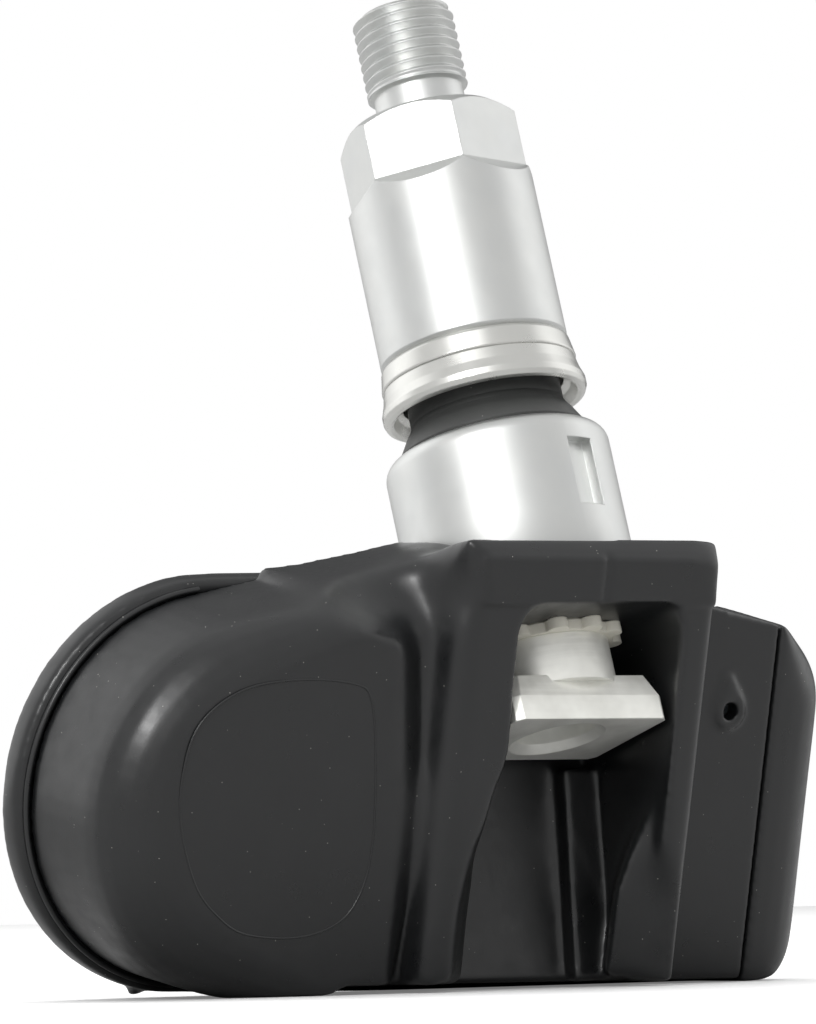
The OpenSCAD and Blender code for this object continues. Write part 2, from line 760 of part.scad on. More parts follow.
module core_spring() {
    steps = spring_turns * 16;
    rise = (spring_top - spring_low) / steps;
    points = [for (i = [0:steps]) each wire_ring(i * 22.5, spring_low + i * rise)];
    faces = concat(
        [for (i = [0:steps - 1], k = [0:5]) [i * 6 + k, i * 6 + (k + 1) % 6, (i + 1) * 6 + (k + 1) % 6,
            (i + 1) * 6 + k]],
        [[5, 4, 3, 2, 1, 0]], [[for (k = [0:5]) steps * 6 + k]]);
    color("silver") on_valve() polyhedron(points, [for (f = faces) [for (j = [len(f) - 1:-1:0]) f[j]]]);
}

module battery_cell() {
    step = 0.5;
    color("silver") facing_front() translate([drum_x, drum_z, cell_from]) rotate_extrude($fn = fine)
        polygon([[0, 0], [cell_r - 0.3, 0], [cell_r, 0.3], [cell_r, cell_t - step - 0.3], [cell_r - 0.3,
            cell_t - step],
            [cell_r - 2.2, cell_t - step], [cell_r - 2.4, cell_t], [0, cell_t]]);
}

// A flat tab on the cell with a leg down to the board
module cell_tab(face, side) {
    reach = cell_r + 0.15;
    low = min(face, board_front);
    high = max(face, board_front);
    facing_front() translate([drum_x, drum_z, 0]) rotate([0, 0, side]) {
        translate([2, -tab_w / 2, face]) cube([reach - 2 + tab_t, tab_w, tab_t]);
        translate([reach, -tab_w / 2, low]) cube([tab_t, tab_w, high - low + tab_t]);
        translate([reach - 1.4, -tab_w / 2, board_front]) cube([1.4 + eps, tab_w, tab_t]);
    }
}

module battery_tab_plus() {
    color("silver") cell_tab(cell_from - tab_t, tab_turn);
}

module battery_tab_minus() {
    color("silver") cell_tab(cell_front, -tab_turn);
}

module circuit_board() {
    color("#1f5a34") facing_front() translate([0, 0, board_from]) linear_extrude(board_t) union() {
        intersection() {
            translate([drum_x, drum_z]) circle(r = drum_r - wall - 0.1, $fn = fine);
            translate([drum_x - 4, drum_z - 20]) square([30, 40]);
        }
        translate([drum_x + 2, box_inner_z + 0.3]) square([seam_x - drum_x - 0.5,
            board_top_z - box_inner_z - 0.3]);
        translate([bracket_right + 0.6, box_inner_z + 0.3]) square([seam_x - bracket_right,
            -box_inner_z - 15.5]);
    }
}

module pressure_chip() {
    color("#202226") facing_front() translate([port_x, -port_drop, board_front]) difference() {
        translate([-chip_w / 2, -chip_w / 2 + 0.4, 0]) cube([chip_w, chip_w, chip_t]);
        translate([0, 0, chip_t - 0.8]) cylinder(r = port_r, h = 1, $fn = 32);
    }
}

module port_seal() {
    color("#8f9aa0") facing_front() translate([port_x, -port_drop, chip_front]) difference() {
        cylinder(r = port_seal_r, h = box_inner - chip_front, $fn = fine);
        translate([0, 0, -1]) cylinder(r = port_r + 0.2, h = 20, $fn = 32);
    }
}

// Wake coil: a ferrite bar with flanged ends, wound with fine wire
module coil_core() {
    color("#3a3a3c") facing_front() translate([coil_x, coil_z, board_front]) {
        translate([-coil_len / 2, -0.8, 0.6]) cube([coil_len, 1.6, coil_h - 1]);
        for (x = [-coil_len / 2 - 1, coil_len / 2 - 0.2]) translate([x, -1.4, 0]) cube([1.2, 2.8, coil_h]);
    }
}

module coil_winding() {
    color("#b5683a") facing_front() translate([coil_x, coil_z, board_front]) difference() {
        translate([-coil_len / 2 + 0.3, -1.2, 0.2]) cube([coil_len - 0.6, 2.4, coil_h - 0.2]);
        translate([-coil_len, -0.8, 0.6]) cube([2 * coil_len, 1.6, coil_h - 1]);
    }
}

// Bent strip antenna that stands on the board's lower edge
module radio_antenna() {
    color("#d8b46a") facing_front() translate([antenna_x, box_inner_z + 0.6, board_front]) {
        translate([0, 0, antenna_rise]) cube([antenna_len, antenna_w, 0.3]);
        for (x = [0, antenna_len - 0.3]) translate([x, 0, 0]) cube([0.3, antenna_w, antenna_rise + eps]);
    }
}

module crystal() {
    color("silver") facing_front() translate([small_parts_x, crystal_z, board_front]) difference() {
        cube([3.2, 2.5, 0.8]);
        translate([0.3, 0.3, 0.65]) cube([2.6, 1.9, 1]);
    }
}

module capacitors() {
    color("#b08d62") facing_front() translate([small_parts_x, capacitors_z, board_front])
        for (i = [0:5]) translate([i * 1.5, (i % 2) * 0.4, 0]) cube([0.8, 1.4, 0.7]);
}

housing();
back_cover();
valve_stem();
foot_nut();
lock_ring();
rubber_seal();
washer();
captive_ring();
union_nut();
core_barrel();
core_pin();
core_cup();
core_spring();
battery_cell();
battery_tab_plus();
battery_tab_minus();
circuit_board();
pressure_chip();
port_seal();
coil_core();
coil_winding();
radio_antenna();
crystal();
capacitors();
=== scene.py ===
"""Looks of a clamp-in tyre pressure sensor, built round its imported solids.

Lengths in the code are in millimetres and turn into metres where a mesh is made. The row frame has
its origin on the valve axis where the wheel rim sits on the rubber seal, +X from the drum to the
electronics box, +Y to the back and +Z up. The housing stands pitched in it, and the valve leans
back from the housing.
"""

import json
import logging
import math
from dataclasses import dataclass
from enum import Enum
from typing import Callable, Sequence

import bmesh
import bpy
import numpy as np
from mathutils import Matrix, Vector

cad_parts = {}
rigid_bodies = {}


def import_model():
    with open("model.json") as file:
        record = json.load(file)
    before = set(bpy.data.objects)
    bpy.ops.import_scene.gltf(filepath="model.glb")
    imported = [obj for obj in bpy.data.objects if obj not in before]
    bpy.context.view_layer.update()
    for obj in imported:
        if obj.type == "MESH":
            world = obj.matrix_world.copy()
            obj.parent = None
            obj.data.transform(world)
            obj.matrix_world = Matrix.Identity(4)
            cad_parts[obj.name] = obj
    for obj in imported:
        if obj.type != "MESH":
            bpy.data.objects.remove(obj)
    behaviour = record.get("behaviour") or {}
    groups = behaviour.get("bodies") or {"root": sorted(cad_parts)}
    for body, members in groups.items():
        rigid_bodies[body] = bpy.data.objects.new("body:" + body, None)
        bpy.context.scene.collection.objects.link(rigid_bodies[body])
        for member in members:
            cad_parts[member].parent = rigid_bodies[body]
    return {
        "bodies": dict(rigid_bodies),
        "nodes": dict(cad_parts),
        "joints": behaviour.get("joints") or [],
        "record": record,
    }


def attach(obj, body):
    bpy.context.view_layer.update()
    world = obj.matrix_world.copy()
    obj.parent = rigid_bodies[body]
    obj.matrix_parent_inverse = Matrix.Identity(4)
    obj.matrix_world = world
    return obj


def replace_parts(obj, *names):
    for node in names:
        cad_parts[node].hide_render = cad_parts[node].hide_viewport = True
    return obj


LOG = logging.getLogger("sensor")
MM = 0.001
# Turns in degrees: the housing forward from upright, and the valve sideways and back from the housing
HOUSING_PITCH = 12.3
VALVE_ASKEW = -0.9
VALVE_LEAN = -29.4
# Turn of the housing's own frame, and of the valve's frame with its axis as the third direction
HOUSING_TURN = Matrix.Rotation(math.radians(HOUSING_PITCH), 3, "X")
VALVE_TURN = (
    HOUSING_TURN
    @ Matrix.Rotation(math.radians(VALVE_ASKEW), 3, "Y")
    @ Matrix.Rotation(math.radians(VALVE_LEAN), 3, "X")
)
# Height of the table
FLOOR_Z = -41.1
# Corners nearer than this many metres become one
MERGE_M = 1e-7
# An upright wall between two heights or two angles is this narrow, in millimetres and in radians
WALL_MM = 0.001
WALL_RAD = 0.0005
# Share of the way to its neighbours' mean that a point moves in one smoothing pass
SMOOTH_SHARE = 0.5

Colour = tuple[float, float, float, float]


def linear(code: str) -> Colour:
    """Turns an sRGB colour code into scene-linear values.

    Args:
        code: Six hexadecimal digits, with or without a leading hash sign.

    Returns:
        Red, green and blue in scene-linear light, and an alpha of one.
    """
    digits = code.lstrip("#")
    parts = [int(digits[i : i + 2], 16) / 255 for i in (0, 2, 4)]
    light = [p / 12.92 if p <= 0.04045 else ((p + 0.055) / 1.055) ** 2.4 for p in parts]
    return (light[0], light[1], light[2], 1.0)


class Grain(Enum):
    """How a surface is marked by the way it was made."""

    MOULDED = "moulded"
    TURNED = "turned"
    MILLED = "milled"
    PLAIN = "plain"


class Frame(Enum):
    """The frame that a pattern's coordinates are counted in."""

    ROW = "row"
    VALVE = "valve"


@dataclass(frozen=True)
class Finish:
    """One real material and how its surface looks.

    Attributes:
        slot: The material slot in the record.
        colour: Colour code of the clean surface.
        metallic: One for bare metal, zero for the rest.
        roughness: Mean roughness.
        spread: How far the roughness wanders from its mean.
        gloss: Strength of the mirror-like part on what isn't metal.
        grain: What the tool or the mould left on it.
        grain_mm: Size of that grain.
        bump_mm: Height of that grain.
        coat: Weight of a clear coat.
        dust: How dusty it is: about six times this share of the grid's cells hold a pale speck.
        dust_colour: Colour code of the specks.
        shade: Colour code that the surface wanders towards in worn or uneven patches.
        shade_share: How much of it shows.
        edge_mm: Radius of the small rounds on sharp edges.
    """

    slot: str
    colour: str
    metallic: float = 0.0
    roughness: float = 0.5
    spread: float = 0.06
    gloss: float = 0.5
    grain: Grain = Grain.PLAIN
    grain_mm: float = 0.3
    bump_mm: float = 0.0
    coat: float = 0.0
    dust: float = 0.0
    dust_colour: str = "b9b7b0"
    shade: str = ""
    shade_share: float = 0.0
    edge_mm: float = 0.15


# Width of the patches in which colour and roughness wander, and the noise values between which they do
SHADE_PATCH = 4.0
SHADE_LIMITS = (0.35, 0.7)
ROUGH_PATCH = 1.6
ROUGH_LIMITS = (0.3, 0.7)
# Share of each finer layer in a noise, number of such layers in a moulded grain, and rays for a round edge
LAYER_SHARE = 0.55
MOULDED_LAYERS = 4.0
EDGE_RAYS = 6
# Specks of dust: cells in a millimetre, inner and outer edge of the dot in a cell, how much of the
# dust's colour shows, and by how much a finish's dust is multiplied for the share of cells with a dot
DUST_CELLS = 2.2
DUST_DOT = (0.07, 0.1)
DUST_SHOWS = 0.55
DUST_SHARE = (6.0, 5.6)
# For each kind of tool mark, the scale of its noise across the axis and its number of finer layers
TOOL_MARKS = {Grain.TURNED: (0.04, 2.0), Grain.MILLED: (0.05, 1.0)}

FINISHES: tuple[Finish, ...] = (
    # Glass-filled nylon, moulded against a satin tool face and a little dusty
    Finish("black_nylon", "151617", roughness=0.33, spread=0.06, gloss=0.68, grain=Grain.MOULDED,
           grain_mm=0.16, bump_mm=0.004, dust=0.02, shade="1a1b1c", shade_share=0.5, edge_mm=0.1),
    # Turned aluminium, satin anodised in its own colour
    Finish("anodised_aluminium", "dddedc", metallic=1.0, roughness=0.42, spread=0.03, grain=Grain.TURNED,
           grain_mm=0.12, bump_mm=0.0012, shade="d3d5d5", shade_share=0.4),
    # Turned aluminium left bright
    Finish("bright_aluminium", "e0e0dc", metallic=1.0, roughness=0.3, spread=0.04, grain=Grain.TURNED,
           grain_mm=0.1, bump_mm=0.001, shade="d2d2ce", shade_share=0.4),
    # Nickel plate over milled steel
    Finish("nickel_plate", "fafaf4", metallic=0.38, roughness=0.4, spread=0.06, grain=Grain.MILLED,
           grain_mm=0.4, bump_mm=0.03, shade="c4c3bc", shade_share=0.5),
    # Natural nylon without pigment
    Finish("cream_nylon", "e6e3d6", roughness=0.42, spread=0.05, grain=Grain.MOULDED,
           grain_mm=0.3, bump_mm=0.003),
    # Carbon-filled rubber
    Finish("black_rubber", "3b3c3b", roughness=0.45, spread=0.06, grain=Grain.MOULDED,
           grain_mm=0.2, bump_mm=0.005, dust=0.012),
    # Turned brass
    Finish("brass", "d3b268", metallic=1.0, roughness=0.28, spread=0.05, grain=Grain.TURNED,
           grain_mm=0.1, bump_mm=0.001),
    # Cold-drawn spring steel
    Finish("spring_steel", "c6c6c2", metallic=1.0, roughness=0.3, spread=0.05),
    # Nickel-plated steel can
    Finish("cell_steel", "d4d4d0", metallic=1.0, roughness=0.25, spread=0.06, shade="b9b9b4",
           shade_share=0.4),
    # Epoxy board under green solder mask
    Finish("board_green", "1c5432", roughness=0.3, coat=0.4, grain=Grain.MOULDED,
           grain_mm=0.5, bump_mm=0.004),
    # Moulded epoxy chip housing
    Finish("chip_black", "1e1f21", roughness=0.55, grain=Grain.MOULDED, grain_mm=0.1, bump_mm=0.003),
    # Soft silicone
    Finish("grey_silicone", "8b9196", roughness=0.6),
    # Sintered ferrite
    Finish("ferrite", "37373a", roughness=0.65, grain=Grain.MOULDED, grain_mm=0.1, bump_mm=0.004),
    # Enamelled copper wire
    Finish("copper_wire", "a85a34", metallic=1.0, roughness=0.3, coat=0.6),
    # Fired capacitor ceramic
    Finish("capacitor_ceramic", "a98a64", roughness=0.45),
)


class Shader:
    """Builds the node tree of one finish."""

    def __init__(self, finish: Finish, frame: Frame) -> None:
        """Starts an empty tree.

        Args:
            finish: What the surface is made of.
            frame: The frame that its grain follows.
        """
        self.finish = finish
        self.frame = frame
        self.material = bpy.data.materials.new(f"{finish.slot}_{frame.value}")
        self.material.use_nodes = True
        self.tree = self.material.node_tree
        self.tree.nodes.clear()

    def add(
        self, kind: str, inputs: dict[object, object] | None = None, **settings: object
    ) -> bpy.types.Node:
        """Adds a node, and sets or links its inputs.

        Args:
            kind: The node's type.
            inputs: Socket names or numbers, each with a value or with another node's output socket.
            **settings: Properties of the node itself.

        Returns:
            The new node.
        """
        made = self.tree.nodes.new(kind)
        for name, value in settings.items():
            setattr(made, name, value)
        for key, value in (inputs or {}).items():
            if isinstance(value, bpy.types.NodeSocket):
                self.tree.links.new(value, made.inputs[key])
            else:
                made.inputs[key].default_value = value
        return made

    def mapped(self) -> bpy.types.NodeSocket:
        """Gives a point of the surface in millimetres, in the finish's frame.

        Returns:
            The output socket with the coordinates.
        """
        place = self.add("ShaderNodeTexCoord").outputs["Object"]
        turn = (0.0, 0.0, 0.0)
        if self.frame is Frame.VALVE:
            turn = tuple(VALVE_TURN.inverted().to_euler("XYZ"))
        inputs = {"Vector": place, "Rotation": turn, "Scale": (1 / MM, 1 / MM, 1 / MM)}
        return self.add("ShaderNodeMapping", inputs).outputs[0]

    def noise(self, at: bpy.types.NodeSocket, size_mm: float, detail: float = 3.0) -> bpy.types.NodeSocket:
        """Gives a smooth random value whose patches have a real size.

        Args:
            at: Coordinates in millimetres.
            size_mm: Width of a patch.
            detail: Number of finer layers.

        Returns:
            The output socket, from zero to one.
        """
        settings = {"Vector": at, "Scale": 1 / size_mm, "Detail": detail, "Roughness": LAYER_SHARE}
        return self.add("ShaderNodeTexNoise", settings).outputs["Fac"]

    def ramp(
        self, value: bpy.types.NodeSocket, low: float, high: float, out: tuple[float, float] = (0.0, 1.0)
    ) -> bpy.types.NodeSocket:
        """Stretches a value between two limits.

        Args:
            value: The value to stretch.
            low: Where the result starts to change.
            high: Where it stops.
            out: The result at both limits.

        Returns:
            The output socket.
        """
        return self.add("ShaderNodeMapRange", {0: value, 1: low, 2: high, 3: out[0], 4: out[1]}).outputs[0]

    def mix(self, share: object, first: object, second: object) -> bpy.types.NodeSocket:
        """Mixes two colours.

        Args:
            share: How much of the second one shows.
            first: Colour or socket.
            second: Colour or socket.

        Returns:
            The output socket with the mixed colour.
        """
        made = self.add("ShaderNodeMix", {0: share, 6: first, 7: second}, data_type="RGBA")
        return made.outputs[2]

    def grain(self, at: bpy.types.NodeSocket) -> bpy.types.NodeSocket:
        """Gives the height of the tool marks or of the mould's texture.

        Args:
            at: Coordinates in millimetres.

        Returns:
            The output socket, from zero to one.
        """
        f = self.finish
        if f.grain in TOOL_MARKS:
            # Fine rings round the axis: noise stretched across it
            across, detail = TOOL_MARKS[f.grain]
            inputs = {"Vector": at, "Scale": (across, across, 1.0)}
            return self.noise(self.add("ShaderNodeMapping", inputs).outputs[0], f.grain_mm, detail)
        return self.noise(at, f.grain_mm, MOULDED_LAYERS)

    def dusted(self, at: bpy.types.NodeSocket, base: object) -> bpy.types.NodeSocket:
        """Scatters pale specks over a colour: a dot in each cell whose random number is over a limit.

        Args:
            at: Coordinates in millimetres.
            base: Colour or socket of the clean surface.

        Returns:
            The output socket with the colour.
        """
        f = self.finish
        sown = {"Vector": at, "Scale": DUST_CELLS, "Randomness": 1.0}
        cells = self.add("ShaderNodeTexVoronoi", sown)
        dot = self.ramp(cells.outputs["Distance"], *DUST_DOT, (1.0, 0.0))
        chosen = self.add("ShaderNodeSeparateColor", {0: cells.outputs["Color"]}).outputs[0]
        rare = self.ramp(chosen, *(1 - share * f.dust for share in DUST_SHARE))
        speck = self.add("ShaderNodeMath", {0: dot, 1: rare}, operation="MULTIPLY").outputs[0]
        soft = self.add("ShaderNodeMath", {0: speck, 1: DUST_SHOWS}, operation="MULTIPLY").outputs[0]
        return self.mix(soft, base, linear(f.dust_colour))

    def build(self) -> bpy.types.Material:
        """Builds the tree.

        Returns:
            The finished material.
        """
        f = self.finish
        at = self.mapped()
        base: object = linear(f.colour)
        if f.shade:
            patches = self.ramp(self.noise(at, SHADE_PATCH), *SHADE_LIMITS, (0.0, f.shade_share))
            base = self.mix(patches, base, linear(f.shade))
        limits = (f.roughness - f.spread, f.roughness + f.spread)
        wander = self.ramp(self.noise(at, ROUGH_PATCH), *ROUGH_LIMITS, limits)
        if f.dust > 0:
            base = self.dusted(at, base)
        inputs: dict[object, object] = {
            "Base Color": base,
            "Metallic": f.metallic,
            "Roughness": wander,
            "Coat Weight": f.coat,
            "Specular IOR Level": f.gloss,
        }
        edge = self.add("ShaderNodeBevel", {"Radius": f.edge_mm * MM}, samples=EDGE_RAYS)
        rounded = edge.outputs[0]
        if f.bump_mm > 0:
            height = self.grain(at)
            bump = {"Strength": 1.0, "Distance": f.bump_mm * MM, "Height": height, "Normal": rounded}
            rounded = self.add("ShaderNodeBump", bump).outputs[0]
        inputs["Normal"] = rounded
        surface = self.add("ShaderNodeBsdfPrincipled", inputs)
        self.add("ShaderNodeOutputMaterial", {"Surface": surface.outputs[0]})
        return self.material


class Palette:
    """All finishes, each built once for each frame it is used in."""

    def __init__(self) -> None:
        """Starts with no material built."""
        self.finishes = {f.slot: f for f in FINISHES}
        self.made: dict[tuple[str, Frame], bpy.types.Material] = {}

    def get(self, slot: str, frame: Frame = Frame.ROW) -> bpy.types.Material:
        """Gives a material, and builds it the first time.

        Args:
            slot: The material slot in the record.
            frame: The frame that its grain follows.

        Returns:
            The material.
        """
        key = (slot, frame)
        if key not in self.made:
            self.made[key] = Shader(self.finishes[slot], frame).build()
        return self.made[key]


VALVE_NODES = frozenset({
    "valve_stem", "foot_nut", "lock_ring", "rubber_seal", "washer", "captive_ring", "union_nut",
    "core_barrel", "core_pin", "core_cup", "core_spring",
})


def dress_nodes(frame: dict, palette: Palette) -> None:
    """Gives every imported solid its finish.

    Args:
        palette: The finishes.
    """
    slots = {s["node"]: s["material_slot"] for s in frame["record"]["subparts"]}
    for name, piece in frame["nodes"].items():
        kind = Frame.VALVE if name in VALVE_NODES else Frame.ROW
        piece.data.materials.clear()
        piece.data.materials.append(palette.get(slots[name], kind))
        LOG.info("dressed %s in %s", name, slots[name])


def mesh_object(
    name: str, points: np.ndarray, faces: Sequence[Sequence[int]], sharp_deg: float
) -> bpy.types.Object:
    """Makes a closed mesh with its normals out.

    Args:
        name: Name of the piece.
        points: Corners in the row frame, in millimetres.
        faces: Corner numbers of each face.
        sharp_deg: Edges that bend by more than this stay sharp.

    Returns:
        The new object, with its own place at the origin.
    """
    mesh = bpy.data.meshes.new(name)
    mesh.from_pydata((points * MM).tolist(), [], [list(f) for f in faces])
    work = bmesh.new()
    work.from_mesh(mesh)
    bmesh.ops.remove_doubles(work, verts=work.verts, dist=MERGE_M)
    bmesh.ops.recalc_face_normals(work, faces=work.faces)
    work.to_mesh(mesh)
    work.free()
    mesh.shade_smooth()
    mesh.set_sharp_from_angle(angle=math.radians(sharp_deg))
    piece = bpy.data.objects.new(name, mesh)
    bpy.context.scene.collection.objects.link(piece)
    return piece


def on_valve(local: np.ndarray) -> np.ndarray:
    """Moves points from the valve's frame to the row frame.

    Args:
        local: Points as sideways, backward and along the axis.

    Returns:
        The points in the row frame.
    """
    return local @ np.array(VALVE_TURN).T


def on_housing(local: np.ndarray) -> np.ndarray:
    """Moves points from the housing's own frame to the row frame.

    Args:
        local: Points in the frame the housing is upright in.

    Returns:
        The points in the row frame.
    """
    return local @ np.array(HOUSING_TURN).T


def ring_faces(rows: int, columns: int, loop: bool) -> list[tuple[int, int, int, int]]:
    """Lists the faces of a grid that closes round in its columns.

    Args:
        rows: Number of rows of points.
        columns: Number of points in a row.
        loop: Whether the last row joins the first one too.

    Returns:
        Four corner numbers for each face.
    """
    faces = []
    for i in range(rows if loop else rows - 1):
        j = (i + 1) % rows
        for k in range(columns):
            m = (k + 1) % columns
            faces.append((i * columns + k, i * columns + m, j * columns + m, j * columns + k))
    return faces


@dataclass
class Lathe:
    """A turned piece on the valve axis, as a surface of two parameters.

    The radius at height t and angle a is the profile's radius less whatever the cuts take away there.

    Attributes:
        name: Name of the piece.
        profile: Radius, height and a one where the cuts apply, for each profile point.
        angles: Angles of the points in a ring.
        cuts: Functions of angle and height that say how much comes off the radius.
        sharp_deg: Edges that bend by more than this stay sharp.
    """

    name: str
    profile: np.ndarray
    angles: np.ndarray
    cuts: Sequence[Callable[[np.ndarray, np.ndarray], np.ndarray]]
    sharp_deg: float = 28.0

    def build(self) -> bpy.types.Object:
        """Makes the mesh: a ring of points for each profile point, closed round both ways.

        Returns:
            The new object.
        """
        radius = np.repeat(self.profile[:, :1], len(self.angles), axis=1)
        height = np.repeat(self.profile[:, 1:2], len(self.angles), axis=1)
        angle = np.repeat(self.angles[None, :], len(self.profile), axis=0)
        outer = np.repeat(self.profile[:, 2:3], len(self.angles), axis=1)
        for cut in self.cuts:
            radius = radius - cut(angle, height) * outer
        local = np.stack([radius * np.cos(angle), radius * np.sin(angle), height], axis=-1)
        faces = ring_faces(len(self.profile), len(self.angles), True)
        LOG.info("lathe %s: %d faces", self.name, len(faces))
        return mesh_object(self.name, on_valve(local.reshape(-1, 3)), faces, self.sharp_deg)


@dataclass
class Stem:
    """The aluminium stem with its collar, spanner slots and cap thread.

    Heights count along the valve axis from the rim's seat, and the collar lies below it.

    Attributes:
        collar_r: Radius of the collar.
        collar_h: Depth of the collar's lower face.
        collar_top_r: Radius of its flat top.
        shoulder: Height of the round between its side and its top.
        stem_r: Radius of the stem.
        stem_top: Height where the stem steps in to the neck.
        neck_r: Radius of the neck.
        thread_from: Height where the cap thread starts.
        tip: Height of the stem's end.
        thread_r: Radius over the thread's crests.
        thread_depth: Depth of the thread.
        pitch: Climb of the thread in one turn.
        core_r: Radius of the bore that takes the valve core.
        core_depth: Depth of that bore.
        air_r: Radius of the air channel.
        shank_r: Radius of the lower shank.
        shank_low: Height of the shank's end.
        collar_drop: Depth of the collar's top.
        slot_w: Width of a spanner slot.
        slot_len: Length of a slot along the axis.
        slot_depth: Depth of a slot.
        slot_from: Height of a slot's upper end.
        slot_turn: Angle of the first slot, in degrees.
        slot_count: Number of slots.
        shank_bevel: Size of the bevel at the shank's end.
        foot_round: Reach of the collar's lower round, and how far its middle lies inside the corner.
        top_bevel: Size of the bevel where the stem steps in.
        neck_taper: How far the neck narrows, and how far below the thread that ends.
        lead: How far below the cap thread's start its run-out begins.
        turn_rows: Profile points in one pitch of the thread.
        tip_bevel: Height of the bevel at the thread's end, and its slope.
        mouth_bevel: Size of the bevel at the bore's mouth.
        core_cone: Height of the cone under the bore.
        flanks: Steepness of the thread's flanks, and how much of the wave its flat root cuts off.
        run_out: Height over which the thread reaches its depth.
        columns: Number of angles before the slots' edges are added.
    """

    collar_r: float = 8.45
    collar_h: float = 12.0
    collar_top_r: float = 7.25
    shoulder: float = 1.3
    stem_r: float = 4.75
    stem_top: float = 19.6
    neck_r: float = 3.65
    thread_from: float = 27.9
    tip: float = 34.3
    thread_r: float = 3.85
    thread_depth: float = 0.45
    pitch: float = 0.794
    core_r: float = 2.6
    core_depth: float = 11.6
    air_r: float = 1.5
    shank_r: float = 3.0
    shank_low: float = -21.7
    collar_drop: float = 1.0
    slot_w: float = 2.5
    slot_len: float = 5.2
    slot_depth: float = 0.9
    slot_from: float = -3.2
    slot_turn: float = 100.6
    slot_count: int = 2
    shank_bevel: float = 0.4
    foot_round: tuple[float, float] = (0.5, 0.15)
    top_bevel: float = 0.5
    neck_taper: tuple[float, float] = (0.25, 0.3)
    lead: float = 0.1
    turn_rows: int = 20
    tip_bevel: tuple[float, float] = (0.55, 0.9)
    mouth_bevel: float = 0.3
    core_cone: float = 0.8
    flanks: tuple[float, float] = (2.5, 0.12)
    run_out: float = 0.5
    columns: int = 144

    def profile(self) -> np.ndarray:
        """Lists radius, height and whether the cuts apply, up the outside and down the bore.

        Returns:
            One row for each profile point.
        """
        quarter = np.radians(np.arange(0, 91, 9))
        top = self.slot_from
        low = top - self.slot_len
        long, short = self.foot_round
        narrower, lower = self.neck_taper
        rows: list[tuple[float, float, float]] = [
            (self.air_r, self.shank_low, 0),
            (self.shank_r - self.shank_bevel, self.shank_low, 0),
            (self.shank_r, self.shank_low + self.shank_bevel, 0),
            (self.shank_r, -self.collar_h, 0),
            (self.collar_r - long, -self.collar_h, 0),
            (self.collar_r - short, -self.collar_h + short, 0),
            (self.collar_r, -self.collar_h + long, 0),
            (self.collar_r, low - WALL_MM, 0),
            (self.collar_r, low, 1),
            (self.collar_r, top, 1),
            (self.collar_r, top + WALL_MM, 0),
        ]
        wide = self.collar_r - self.collar_top_r
        base = -self.collar_drop - self.shoulder
        for a in quarter:
            rows.append((self.collar_top_r + wide * math.cos(a), base + self.shoulder * math.sin(a), 0))
        rows += [
            (self.stem_r, -self.collar_drop, 0),
            (self.stem_r, self.stem_top - self.top_bevel, 0),
            (self.stem_r - self.top_bevel, self.stem_top, 0),
            (self.neck_r, self.stem_top, 0),
            (self.neck_r - narrower, self.thread_from - lower, 0),
        ]
        steps = int((self.tip - self.thread_from) / self.pitch * self.turn_rows)
        reach, slope = self.tip_bevel
        for h in np.linspace(self.thread_from - self.lead, self.tip, steps):
            bevel = max(0.0, h - (self.tip - reach)) * slope
            rows.append((self.thread_r - bevel, float(h), 1))
        seat = self.tip - self.core_depth
        rows += [
            (self.core_r + self.mouth_bevel, self.tip, 0),
            (self.core_r, self.tip - self.mouth_bevel, 0),
            (self.core_r, seat, 0),
            (self.air_r, seat - self.core_cone, 0),
        ]
        return np.array(rows, float)

    def slots(self, angle: np.ndarray, height: np.ndarray) -> np.ndarray:
        """Depth of the spanner slots.

        Args:
            angle: Angle round the axis.
            height: Height along it.

        Returns:
            How much the slots take off the radius.
        """
        part = 2 * np.pi / self.slot_count
        away = np.abs((angle - math.radians(self.slot_turn) + part / 2) % part - part / 2)
        return np.where((height < 0) & (away < self.slot_w / 2 / self.collar_r), self.slot_depth, 0.0)

    def thread(self, angle: np.ndarray, height: np.ndarray) -> np.ndarray:
        """Depth of the cap thread: a wave that climbs one pitch in a turn, flattened at crest and root.

        Args:
            angle: Angle round the axis.
            height: Height along it.

        Returns:
            How much the thread takes off the radius.
        """
        phase = (height / self.pitch - angle / (2 * np.pi)) % 1.0
        slope, flat = self.flanks
        wave = np.clip(np.abs(phase - 0.5) * slope - flat, 0.0, 1.0)
        grown = np.clip((height - self.thread_from + self.lead) / self.run_out, 0.0, 1.0)
        depth = self.thread_depth * (1 - wave) * grown
        return np.where(height > self.thread_from - 2 * self.lead, depth, 0.0)

    def angles(self) -> np.ndarray:
        """Gives angles that include both edges of every slot twice, so that its walls are upright.

        Returns:
            Sorted angles.
        """
        half = self.slot_w / 2 / self.collar_r
        whole = 2 * np.pi
        middles = math.radians(self.slot_turn) + np.arange(self.slot_count) * 2 * np.pi / self.slot_count
        edges = [m + s * (half + e) for m in middles for s in (-1, 1) for e in (-WALL_RAD, WALL_RAD)]
        even = np.linspace(0, whole, self.columns, endpoint=False)
        return np.unique(np.concatenate([even, np.array(edges) % whole]))

    def build(self, palette: Palette) -> bpy.types.Object:
        """Makes the stem and lets it stand for its solid.

        Args:
            palette: The finishes.

        Returns:
            The new object.
        """
        piece = Lathe("stem_turned", self.profile(), self.angles(), (self.slots, self.thread)).build()
        piece.data.materials.append(palette.get("anodised_aluminium", Frame.VALVE))
        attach(piece, "sensor")
        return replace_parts(piece, "valve_stem")


